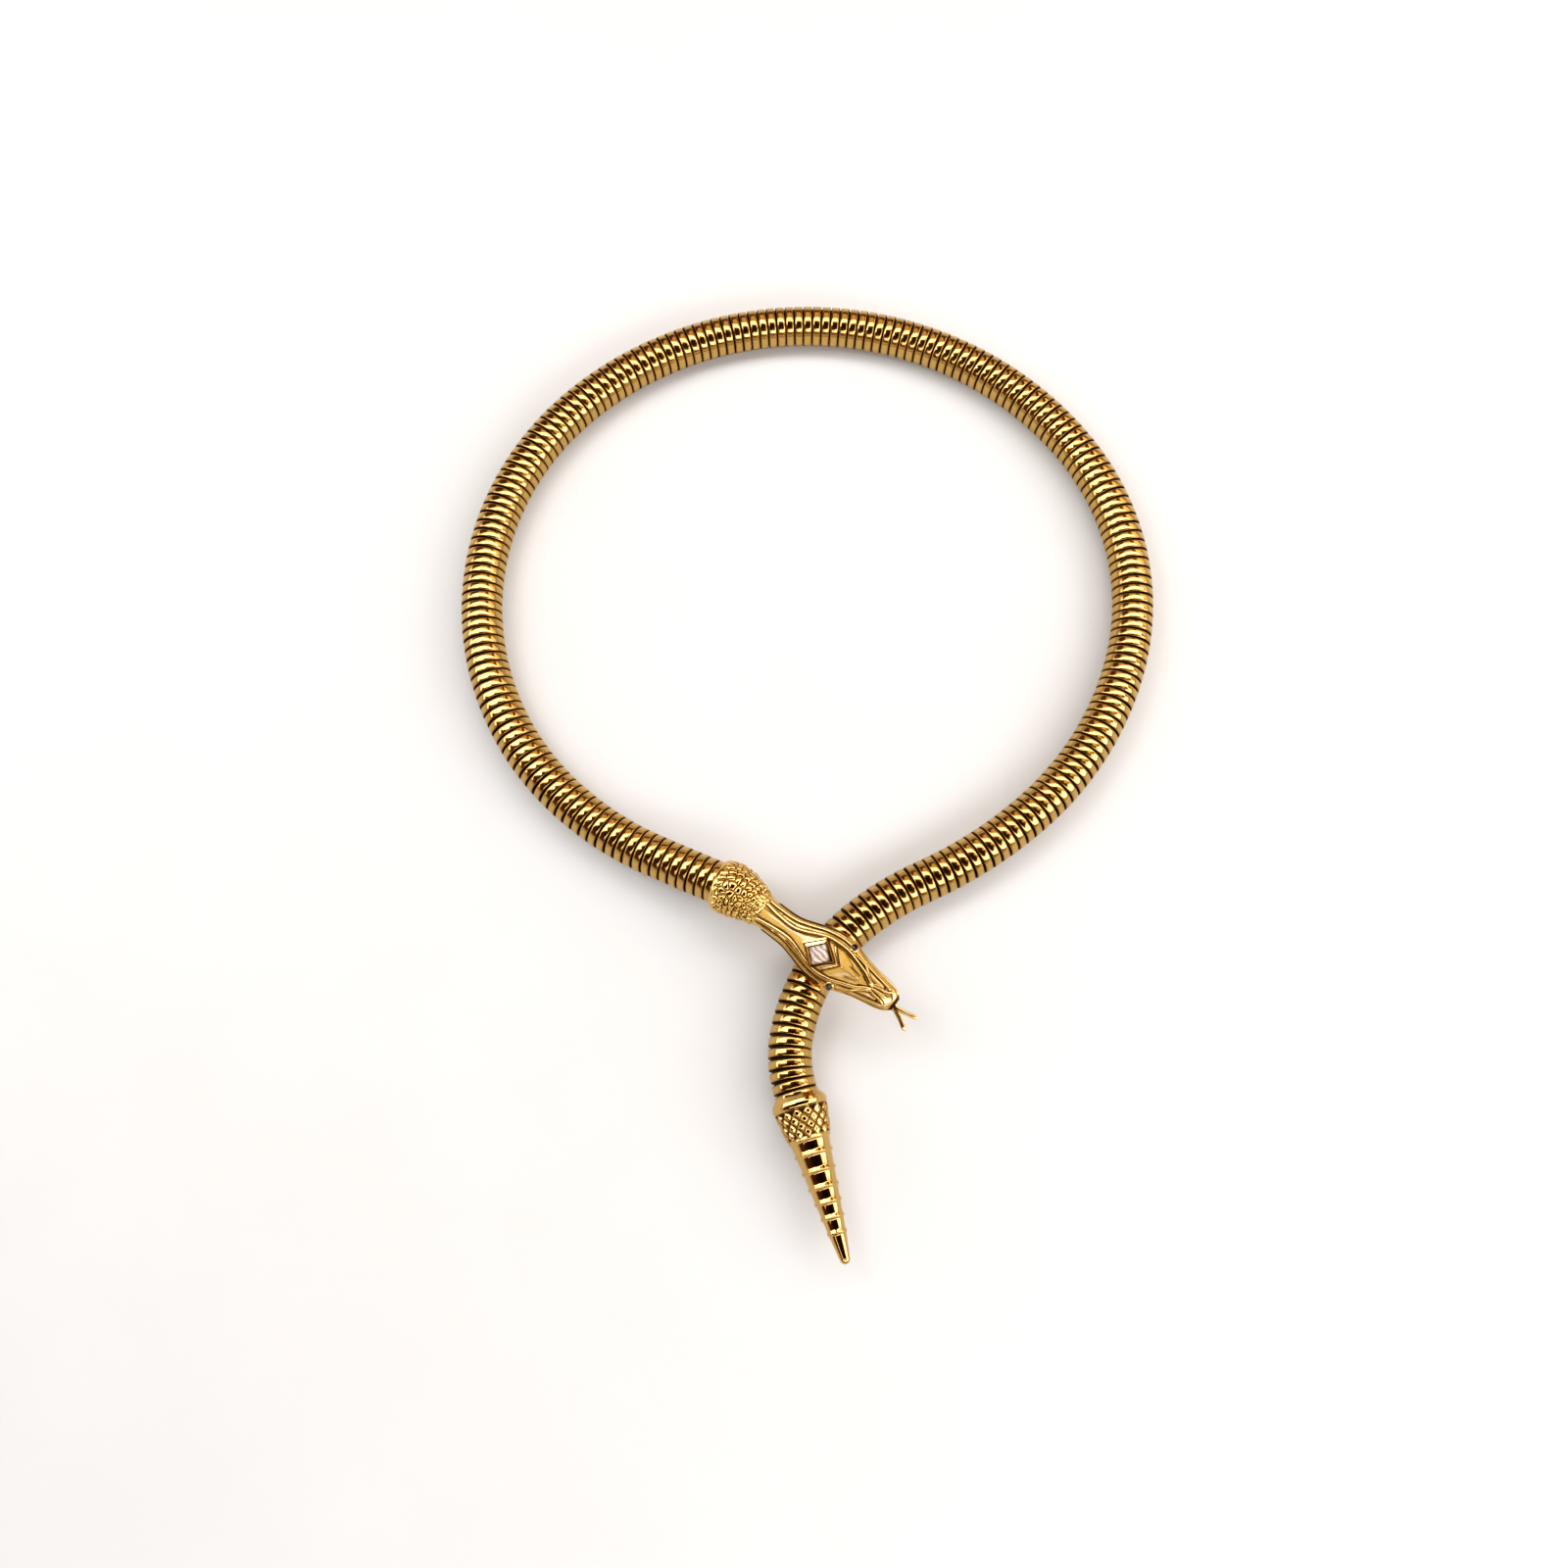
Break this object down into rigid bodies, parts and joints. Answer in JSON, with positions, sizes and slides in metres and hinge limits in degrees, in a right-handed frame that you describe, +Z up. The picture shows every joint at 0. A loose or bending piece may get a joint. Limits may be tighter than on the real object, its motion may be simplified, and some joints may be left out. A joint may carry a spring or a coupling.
{
  "type": "gas pipe necklace",
  "caption": "Serpent collar of ribbed gas pipe lying flat, its cast head with a square clear stone laid across the pipe above a free cast tail.",
  "frame": {"origin": "middle of the footprint, on the surface the necklace lies on", "axes": "+Y from the hanging tail to the back of the neck, +Z up, away from the surface"},
  "size_m": [0.1422, 0.1996, 0.0161],
  "materials": {
    "gilt_brass": "polished gold plate",
    "dark_brass": "dull",
    "clear_stone": "faceted"
  },
  "bodies": {
    "root": {"gas_pipe": "gilt_brass", "pipe_core": "dark_brass", "serpent_head": "gilt_brass", "head_stone": "clear_stone", "eye_left": "clear_stone", "eye_right": "clear_stone", "forked_tongue": "gilt_brass", "head_clasp": "dark_brass", "tail_finial": "gilt_brass"}
  },
  "joints": []
}
